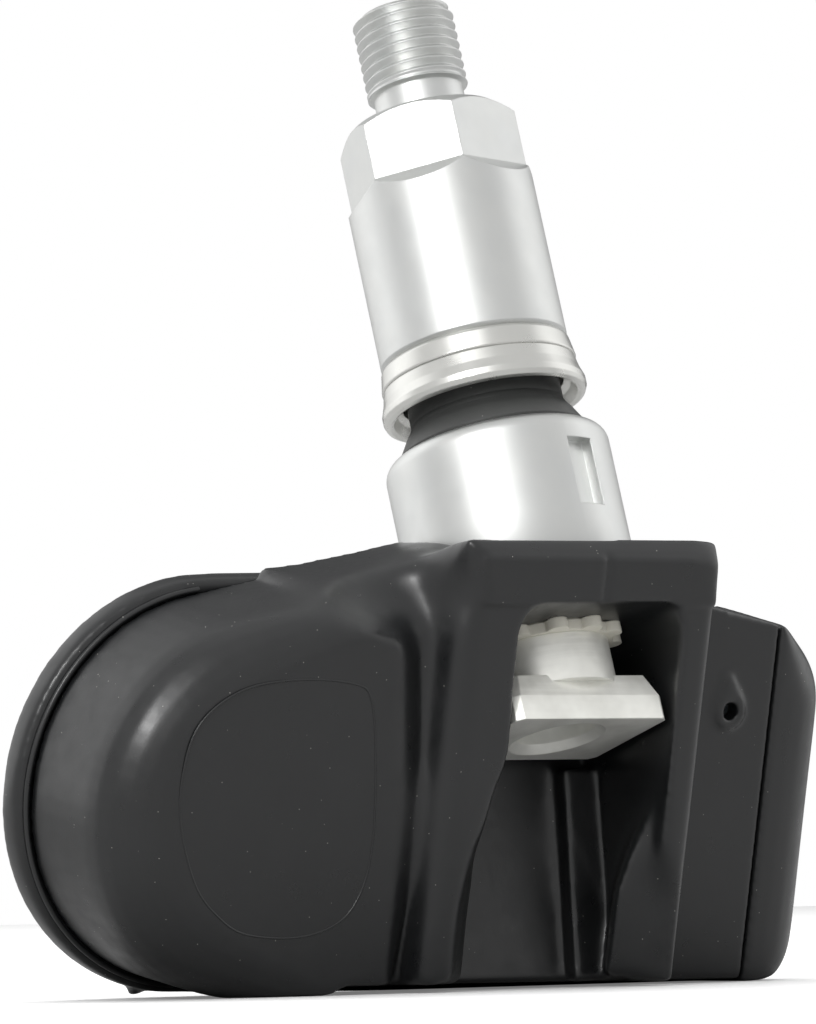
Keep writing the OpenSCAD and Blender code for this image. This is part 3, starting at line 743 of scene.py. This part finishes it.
@dataclass(frozen=True)
class SoftSpot:
    """A place where the mould rounds the form off far more than elsewhere.

    Attributes:
        at: Centre in the housing's frame.
        reach: How far the spot goes each way, in millimetres.
        passes: Number of smoothing passes at its centre.
        shift: How far the surface moves at its centre, in millimetres.
        full: How steeply the weight falls to the edge. Over one, it is whole round the centre.
    """

    at: tuple[float, float, float]
    reach: tuple[float, float, float]
    passes: int
    shift: tuple[float, float, float] = (0.0, 0.0, 0.0)
    full: float = 1.35

    def weights(self, local: np.ndarray) -> np.ndarray:
        """Tells how much of the spot each point gets: all round its centre, none at its edge.

        With d as the distance from the centre in parts of the reach and w as full times 1 - d, kept
        between zero and one, the weight is 3w^2 - 2w^3.

        Args:
            local: Points in the housing's frame.

        Returns:
            One weight for each point, from zero to one.
        """
        away = np.linalg.norm((local - np.array(self.at)) / np.array(self.reach), axis=1)
        rest = np.clip(self.full * (1 - away), 0.0, 1.0)
        return rest * rest * (3 - 2 * rest)


@dataclass
class Moulding:
    """A moulded shell, drawn again from its solid with the soft edges that a mould gives.

    The solid is filled with small cubes, their skin is smoothed, and it is thinned to a budget of
    triangles.

    Attributes:
        node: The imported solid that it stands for.
        slot: The material slot in the record.
        body: The body that it rides on.
        cube_mm: Size of the small cubes.
        passes: Smoothing passes for the whole skin.
        triangles: Most triangles that the skin may have.
        spots: Places that are rounded off further.
        added: Functions that give further closed solids to join to it.
        weight_steps: Number of steps that a spot's weights are rounded to.
    """

    node: str
    slot: str
    body: str = "sensor"
    cube_mm: float = 0.21
    passes: int = 14
    triangles: int = 185000
    spots: Sequence[SoftSpot] = ()
    added: Sequence[Callable[[], tuple[np.ndarray, list]]] = ()
    weight_steps: int = 20

    def shape(self, frame: dict) -> bpy.types.Object:
        """Copies the solid and joins its loose triangles.


        Returns:
            A new object.
        """
        source = frame["nodes"][self.node]
        work = bmesh.new()
        work.from_mesh(source.data)
        bmesh.ops.remove_doubles(work, verts=work.verts, dist=MERGE_M)
        for make in self.added:
            points, faces = make()
            corners = [work.verts.new(tuple(p * MM)) for p in points]
            for face in faces:
                work.faces.new([corners[c] for c in face])
        bmesh.ops.recalc_face_normals(work, faces=work.faces)
        mesh = bpy.data.meshes.new(f"{self.node}_moulded")
        work.to_mesh(mesh)
        work.free()
        piece = bpy.data.objects.new(f"{self.node}_moulded", mesh)
        bpy.context.scene.collection.objects.link(piece)
        return piece

    def soften(self, piece: bpy.types.Object) -> None:
        """Turns the solid into one smooth skin, and leaves no modifier behind.

        Args:
            piece: The object to change.
        """
        cubes = piece.modifiers.new("cubes", "REMESH")
        cubes.mode = "VOXEL"
        cubes.voxel_size = self.cube_mm * MM
        self.bake(piece)
        points = np.empty(len(piece.data.vertices) * 3, np.float32)
        piece.data.vertices.foreach_get("co", points)
        local = points.reshape(-1, 3) / MM @ np.array(HOUSING_TURN)
        for spot in self.spots:
            local = local + spot.weights(local)[:, None] * np.array(spot.shift)
        moved = on_housing(local) * MM
        piece.data.vertices.foreach_set("co", moved.astype(np.float32).ravel())
        for number, spot in enumerate(self.spots):
            group = piece.vertex_groups.new(name=f"spot_{number}")
            # The weights in even steps, so that points are given out a step at a time
            steps = np.round(spot.weights(local) * self.weight_steps).astype(int)
            for step in range(1, self.weight_steps + 1):
                group.add(np.flatnonzero(steps == step).tolist(), step / self.weight_steps, "REPLACE")
            rounding = piece.modifiers.new(group.name, "SMOOTH")
            rounding.factor = SMOOTH_SHARE
            rounding.iterations = spot.passes
            rounding.vertex_group = group.name
        soft = piece.modifiers.new("soft", "SMOOTH")
        soft.factor = SMOOTH_SHARE
        soft.iterations = self.passes
        self.bake(piece)
        count = sum(len(f.vertices) - 2 for f in piece.data.polygons)
        if count > self.triangles:
            thin = piece.modifiers.new("thin", "DECIMATE")
            thin.ratio = self.triangles / count
            self.bake(piece)
        piece.data.shade_smooth()

    def bake(self, piece: bpy.types.Object) -> None:
        """Works out the modifiers and keeps the mesh they give.

        Args:
            piece: The object that carries them.
        """
        seen = piece.evaluated_get(bpy.context.evaluated_depsgraph_get())
        skin = bpy.data.meshes.new_from_object(seen)
        piece.modifiers.clear()
        piece.vertex_groups.clear()
        piece.data = skin

    def build(self, frame: dict, palette: Palette) -> bpy.types.Object:
        """Makes the moulding and lets it stand for its solid.

        Args:
            palette: The finishes.

        Returns:
            The new object.
        """
        piece = self.shape(frame)
        self.soften(piece)
        LOG.info("moulding %s: %d faces", piece.name, len(piece.data.polygons))
        piece.data.materials.clear()
        piece.data.materials.append(palette.get(self.slot))
        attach(piece, self.body)
        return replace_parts(piece, self.node)


HOUSING_SPOTS = (
    # Shoulder between drum and bracket: set back, then rounded off in a wide and in a nearer spot
    SoftSpot((-16.8, -13.5, -9.2), (7.5, 6.0, 3.6), 60, (0.0, 2.6, -0.4)),
    SoftSpot((-19.0, -10.5, -8.8), (8.5, 8.0, 5.0), 500),
    SoftSpot((-15.6, -12.5, -8.8), (6.5, 7.0, 5.0), 450),
    # Left edge of the pocket's mouth, a little further out
    SoftSpot((-7.8, -14.5, -26.2), (3.2, 4.0, 6.2), 60, (-0.85, 0.0, 0.0)),
    # Bracket's upper left edge, a little higher
    SoftSpot((-11.8, -8.5, -6.4), (6.0, 7.5, 3.4), 80, (0.0, 0.0, 1.2)),
    # Upright edge of the bracket beside the drum
    SoftSpot((-12.6, -14.0, -22.0), (4.2, 4.6, 19.0), 260),
    # Lower left and lower right edge of the pocket's mouth, and a place deeper in the pocket
    SoftSpot((-8.0, -14.5, -33.0), (4.5, 4.5, 12.0), 200),
    SoftSpot((8.2, -13.4, -33.0), (4.0, 4.5, 12.0), 90),
    SoftSpot((3.6, -5.5, -33.0), (3.8, 3.5, 11.0), 160),
    # Upper front corner where the bracket meets the box
    SoftSpot((10.9, -15.6, -7.4), (3.4, 3.4, 3.6), 120),
)
COVER_SPOTS = (
    # The whole round rim behind the drum
    SoftSpot((-24.7, -0.5, -25.9), (40.0, 9.0, 40.0), 70),
    # Upper corner, lower corner and upright edge of the end cap
    SoftSpot((29.0, -7.5, -14.5), (8.0, 9.0, 7.0), 220),
    SoftSpot((29.0, -7.5, -40.0), (7.0, 8.0, 6.0), 120),
    SoftSpot((29.0, -9.0, -27.0), (5.0, 5.0, 12.0), 120),
)


@dataclass(frozen=True)
class RampCorner:
    """One of the three edges that run down the pocket's ramp.

    Attributes:
        side: Its sideways place at the top, in millimetres.
        depth: Its place from front to back at the top.
        side_grows: How far it has moved sideways at the foot.
        depth_grows: How far it has moved back at the foot.
    """

    side: float
    depth: float
    side_grows: float = 0.0
    depth_grows: float = 0.0


# Front corner, nose and back corner
RAMP_CORNERS = (RampCorner(9.0, -15.2, 0.9), RampCorner(8.2, -14.4, -2.3, 1.1), RampCorner(9.0, -9.0))
# The ramp's top in the housing's frame, its foot in the row frame, and its number of levels
RAMP_TOP = -21.0
RAMP_FOOT = -40.5
RAMP_LEVELS = 24
# Where it starts to grow, and over what height
RAMP_GROWS_AT = -22.0
RAMP_GROWTH = 11.0


def pocket_ramp() -> tuple[np.ndarray, list]:
    """Builds the ramp on the pocket's right side, which grows towards the foot.

    Each level is a triangle with a corner in front, a nose and a corner behind. The nose stands
    t(z) of its full reach out of the wall, with t(z) = 3s^2 - 2s^3 and s = (-22 - z) / 11, kept
    between zero and one. The levels turn little by little until the last lies level in the row.

    Returns:
        Points in the row's frame, and faces.
    """
    lean_y, lean_z = HOUSING_TURN[2][1], HOUSING_TURN[2][2]
    points = []
    for u in np.linspace(0.0, 1.0, RAMP_LEVELS):
        for corner in RAMP_CORNERS:
            z = RAMP_TOP + u * ((RAMP_FOOT - lean_y * corner.depth) / lean_z - RAMP_TOP)
            s = min(max((RAMP_GROWS_AT - z) / RAMP_GROWTH, 0.0), 1.0)
            t = 3 * s * s - 2 * s**3
            points.append((corner.side + corner.side_grows * t, corner.depth + corner.depth_grows * t, z))
    sides = len(RAMP_CORNERS)
    faces: list[Sequence[int]] = list(ring_faces(RAMP_LEVELS, sides, False))
    last = sides * (RAMP_LEVELS - 1)
    faces += [[0, 1, 2], [last + 2, last + 1, last]]
    return on_housing(np.array(points)), faces


@dataclass
class Bead:
    """A thin raised line on a moulding: a round thread along a path, half sunk in the surface.

    Attributes:
        name: Name of the piece.
        path: Points along its middle, in the housing's frame.
        radius: Radius of the thread, in millimetres.
        closed: Whether its end joins its start.
        slot: The material slot in the record.
        sides: Points round the thread.
        sharp_deg: Edges that bend by more than this stay sharp.
    """

    name: str
    path: np.ndarray
    radius: float
    closed: bool
    slot: str = "black_nylon"
    sides: int = 8
    sharp_deg: float = 60.0

    def build(self, palette: Palette) -> bpy.types.Object:
        """Sweeps a ring of points along the path, square to it.

        Args:
            palette: The finishes.

        Returns:
            The new object.
        """
        path = self.path
        ahead = np.roll(path, -1, axis=0) - np.roll(path, 1, axis=0)
        if not self.closed:
            ahead[0], ahead[-1] = path[1] - path[0], path[-1] - path[-2]
        ahead /= np.linalg.norm(ahead, axis=1, keepdims=True)
        front = np.array([0.0, -1.0, 0.0])
        aside = np.cross(ahead, front)
        turns = np.linspace(0, 2 * np.pi, self.sides, endpoint=False)
        ring = np.cos(turns)[None, :, None] * aside[:, None, :] + np.sin(turns)[None, :, None] * front
        points = path[:, None, :] + self.radius * ring
        faces: list[Sequence[int]] = list(ring_faces(len(path), self.sides, self.closed))
        if not self.closed:
            last = (len(path) - 1) * self.sides
            faces += [list(range(self.sides)), [last + k for k in range(self.sides)]]
        piece = mesh_object(self.name, on_housing(points.reshape(-1, 3)), faces, self.sharp_deg)
        piece.data.materials.append(palette.get(self.slot))
        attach(piece, "sensor")
        LOG.info("bead %s: %d faces", self.name, len(faces))
        return piece


def rounded_path(corners: Sequence[tuple[float, float]], depth: float, steps: int) -> np.ndarray:
    """Draws a smooth closed curve through a few places on the front: a Catmull-Rom curve.

    Between places b and c, with a before and d after them and u from zero to one, the curve is half
    of 2b + (c - a)u + (2a - 5b + 4c - d)u^2 + (3b - a - 3c + d)u^3.

    Args:
        corners: Sideways and upward places in the housing's frame.
        depth: Distance of the curve in front of the lid's back.
        steps: Number of points between two corners.

    Returns:
        Points in the housing's frame.
    """
    p = np.array(corners, float)
    rows = []
    for a, b, c, d in zip(np.roll(p, 1, 0), p, np.roll(p, -1, 0), np.roll(p, -2, 0)):
        square = 2 * a - 5 * b + 4 * c - d
        cube = 3 * b - a - 3 * c + d
        for u in np.arange(steps) / steps:
            rows.append(0.5 * (2 * b + (c - a) * u + square * u**2 + cube * u**3))
    flat = np.array(rows)
    return np.stack([flat[:, 0], np.full(len(flat), -depth), flat[:, 1]], axis=1)


# Places that the D-shaped line on the drum's front runs through, sideways and upward
PANEL = (
    (-24.8, -15.9), (-29.6, -16.7), (-32.9, -19.2), (-33.9, -23.1), (-33.5, -26.7), (-31.9, -30.6),
    (-29.9, -32.8), (-27.2, -34.3), (-22.5, -34.6), (-19.1, -33.5), (-17.5, -31.2), (-17.0, -27.6),
    (-17.5, -21.7), (-18.4, -17.4), (-20.0, -16.2),
)
# Depth of that line, its points between two places, and its radius
PANEL_DEPTH = 14.17
PANEL_STEPS = 8
PANEL_LINE_R = 0.09
# Middle of the lid's round rim
RIM_X = -24.7
RIM_Z = -25.9
# Radius and place of the lip on that rim, its first and last angle, its points, and its own thickness
LIP_R = 14.62
LIP_Y = -2.66
LIP_FROM_DEG = 97
LIP_TO_DEG = 268
LIP_POINTS = 90
LIP_LINE_R = 0.24


def drum_lines(palette: Palette) -> None:
    """Adds the D-shaped panel line on the drum's front and the lip on the lid's rim.

    Args:
        palette: The finishes.
    """
    Bead("panel_line", rounded_path(PANEL, PANEL_DEPTH, PANEL_STEPS), PANEL_LINE_R, True).build(palette)
    turns = np.radians(np.linspace(LIP_FROM_DEG, LIP_TO_DEG, LIP_POINTS))
    depths = np.full(LIP_POINTS, LIP_Y)
    lip = np.stack([RIM_X + LIP_R * np.cos(turns), depths, RIM_Z + LIP_R * np.sin(turns)], axis=1)
    Bead("rim_lip", lip, LIP_LINE_R, False).build(palette)


def camera_sees(tree: bpy.types.NodeTree, seen: bpy.types.Node, mirrored: bpy.types.Node, end: str) -> None:
    """Shows one shader to the camera, and another to everything that is lit by it or mirrors it.

    Args:
        tree: Node tree of the table's material or of the surroundings.
        seen: What the camera sees.
        mirrored: What the rest gets.
        end: Name of the tree's output node.
    """
    ray = tree.nodes.new("ShaderNodeLightPath")
    blend = tree.nodes.new("ShaderNodeMixShader")
    tree.links.new(ray.outputs["Is Camera Ray"], blend.inputs[0])
    tree.links.new(mirrored.outputs[0], blend.inputs[1])
    tree.links.new(seen.outputs[0], blend.inputs[2])
    tree.links.new(blend.outputs[0], tree.nodes[end].inputs["Surface"])


@dataclass(frozen=True)
class Light:
    """One soft light.

    Attributes:
        name: Name of the light.
        at: Its centre, in millimetres.
        aim: The point it faces.
        size: Width and height, in millimetres.
        power: Strength in watts.
        mirrored: Whether the sensor mirrors it, or only is lit by it.
    """

    name: str
    at: tuple[float, float, float]
    aim: tuple[float, float, float]
    size: tuple[float, float]
    power: float
    mirrored: bool = True

    def hang(self) -> None:
        """Puts the light in the scene, out of the camera's sight."""
        lamp = bpy.data.lights.new(self.name, "AREA")
        lamp.shape = "RECTANGLE"
        lamp.size, lamp.size_y = self.size[0] * MM, self.size[1] * MM
        lamp.energy = self.power
        hung = bpy.data.objects.new(self.name, lamp)
        hung.visible_camera = False
        hung.visible_glossy = self.mirrored
        direction = (Vector(self.aim) - Vector(self.at)).normalized()
        turn = direction.to_track_quat("-Z", "Y").to_matrix().to_4x4()
        hung.matrix_world = Matrix.Translation(Vector(self.at) * MM) @ turn
        bpy.context.scene.collection.objects.link(hung)


@dataclass
class Studio:
    """Camera, table, lights and surroundings.

    Attributes:
        image: Width and height of the photo, in pixels.
        focal_px: Focal length of the photo, in pixels.
        camera_at: Place of the camera in the row frame, in millimetres.
        right: Direction of the picture's right edge.
        up: Direction of its upper edge.
        back: Direction from the sensor towards the camera.
        sensor_mm: Height of the camera's chip.
        clip_m: Nearest and furthest distance in view, in metres.
        table_reach: Half the table's width, in millimetres.
        table_seen: Colour code of the table where the camera sees it.
        table_mirrored: Colour code of the table where the sensor mirrors it.
        table_roughness: Roughness of the table.
        table_glow: Light that the table itself gives where the camera sees it.
        lamps_away: Distance of the lights that stand round the sensor, in millimetres.
        tent: Strength of the white tent.
        tent_behind: Its strength straight behind the sensor.
        dim_from: Cosine of the angle to that direction where it starts to get darker.
        dim_full: Cosine of the angle where it is darkest.
    """

    image: tuple[int, int] = (816, 1024)
    focal_px: float = 6710.0
    camera_at: tuple[float, float, float] = (-291.809, -404.816, -32.283)
    right: tuple[float, float, float] = (0.819028, -0.573444, -0.018844)
    up: tuple[float, float, float] = (-0.015272, -0.054621, 0.998390)
    back: tuple[float, float, float] = (-0.573550, -0.817422, -0.053494)
    sensor_mm: float = 36.0
    clip_m: tuple[float, float] = (0.01, 10.0)
    table_reach: float = 700.0
    table_seen: str = "fafafa"
    table_mirrored: str = "9a9a9a"
    table_roughness: float = 0.28
    table_glow: float = 0.17
    lamps_away: float = 700.0
    tent: float = 0.68
    tent_behind: float = 0.16
    dim_from: float = 0.45
    dim_full: float = 0.9

    def camera(self) -> None:
        """Places the camera where the photo was taken from."""
        lens = bpy.data.cameras.new("camera")
        lens.sensor_fit = "VERTICAL"
        lens.sensor_height = self.sensor_mm
        lens.lens = self.focal_px * self.sensor_mm / self.image[1]
        lens.clip_start, lens.clip_end = self.clip_m
        eye = bpy.data.objects.new("camera", lens)
        turn = Matrix([self.right, self.up, self.back]).transposed()
        eye.matrix_world = Matrix.Translation(Vector(self.camera_at) * MM) @ turn.to_4x4()
        bpy.context.scene.collection.objects.link(eye)
        bpy.context.scene.camera = eye

    def floor(self) -> None:
        """Lays a pale glossy table under the sensor."""
        mesh = bpy.data.meshes.new("floor")
        reach = self.table_reach
        flat = ((-reach, -reach), (reach, -reach), (reach, reach), (-reach, reach))
        corners = [(x, y, FLOOR_Z) for x, y in flat]
        mesh.from_pydata([tuple(c * MM for c in p) for p in corners], [], [(0, 1, 2, 3)])
        table = bpy.data.objects.new("floor", mesh)
        bpy.context.scene.collection.objects.link(table)
        material = bpy.data.materials.new("table_white")
        material.use_nodes = True
        tree = material.node_tree
        white = tree.nodes["Principled BSDF"]
        white.inputs["Base Color"].default_value = linear(self.table_seen)
        white.inputs["Roughness"].default_value = self.table_roughness
        white.inputs["Emission Color"].default_value = linear("ffffff")
        white.inputs["Emission Strength"].default_value = self.table_glow
        # What the sensor mirrors of the table is duller than what the camera sees of it
        dull = tree.nodes.new("ShaderNodeBsdfDiffuse")
        dull.inputs["Color"].default_value = linear(self.table_mirrored)
        camera_sees(tree, white, dull, "Material Output")
        mesh.materials.append(material)

    def toward(self, turn_deg: float, rise_deg: float) -> tuple[float, float, float]:
        """Finds a place for a light round the sensor, counted from the camera's side.

        Args:
            turn_deg: Angle round the sensor from the camera's direction, towards the camera's right.
            rise_deg: Angle above the table.

        Returns:
            The place in the row frame.
        """
        turn, rise = math.radians(turn_deg), math.radians(rise_deg)
        near = Vector((self.back[0], self.back[1], 0)).normalized()
        side = Vector((self.right[0], self.right[1], 0)).normalized()
        flat = near * math.cos(turn) + side * math.sin(turn)
        away = self.lamps_away
        return tuple(flat * (away * math.cos(rise)) + Vector((0, 0, away * math.sin(rise))))

    def lights(self) -> None:
        """Hangs the key beside the camera, a light on each flank, one overhead and a small spark."""
        aim = (0, 0, -5)
        for light in (
            Light("key", self.toward(-13, 34), aim, size=(340, 460), power=0.78),
            Light("left", self.toward(-125, 12), aim, size=(900, 1000), power=2.1),
            Light("right", self.toward(122, 12), aim, size=(800, 900), power=1.3),
            Light("top", (0, 120, 720), (0, 0, 0), size=(900, 900), power=9.0, mirrored=False),
            Light("spark", self.toward(-26, 29), aim, size=(120, 200), power=1.3),
        ):
            light.hang()

    def surround(self) -> None:
        """Puts a white tent round the sensor, darker behind it, and a white backdrop for the camera."""
        world = bpy.data.worlds.new("surround")
        world.use_nodes = True
        tree = world.node_tree
        tent = tree.nodes["Background"]
        tent.inputs["Color"].default_value = (1, 1, 1, 1)
        # The tent is darker straight behind the sensor, where its upper faces mirror it
        direction = tree.nodes.new("ShaderNodeTexCoord")
        behind = tree.nodes.new("ShaderNodeVectorMath")
        behind.operation = "DOT_PRODUCT"
        behind.inputs[1].default_value = [-v for v in self.back]
        dim = tree.nodes.new("ShaderNodeMapRange")
        dim.interpolation_type = "SMOOTHSTEP"
        dim.inputs["From Min"].default_value = self.dim_from
        dim.inputs["From Max"].default_value = self.dim_full
        dim.inputs["To Min"].default_value = self.tent
        dim.inputs["To Max"].default_value = self.tent_behind
        tree.links.new(direction.outputs["Generated"], behind.inputs[0])
        tree.links.new(behind.outputs["Value"], dim.inputs["Value"])
        tree.links.new(dim.outputs["Result"], tent.inputs["Strength"])
        backdrop = tree.nodes.new("ShaderNodeBackground")
        backdrop.inputs["Color"].default_value = (1, 1, 1, 1)
        backdrop.inputs["Strength"].default_value = 1.0
        camera_sees(tree, backdrop, tent, "World Output")
        bpy.context.scene.world = world
        bpy.context.scene.view_settings.view_transform = "Standard"


def write_size() -> None:
    """Brings the placements of the scene's objects up to date."""
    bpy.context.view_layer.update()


def main() -> None:
    """Builds the scene."""
    logging.basicConfig(level=logging.INFO, format="%(name)s: %(message)s")
    studio = Studio()
    studio.camera()
    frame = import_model()
    write_size()
    palette = Palette()
    dress_nodes(frame, palette)
    Stem().build(palette)
    Moulding("housing", "black_nylon", spots=HOUSING_SPOTS, added=(pocket_ramp,)).build(frame, palette)
    Moulding("back_cover", "black_nylon", spots=COVER_SPOTS).build(frame, palette)
    drum_lines(palette)
    studio.floor()
    studio.lights()
    studio.surround()
    write_size()


if __name__ == "__main__":
    main()
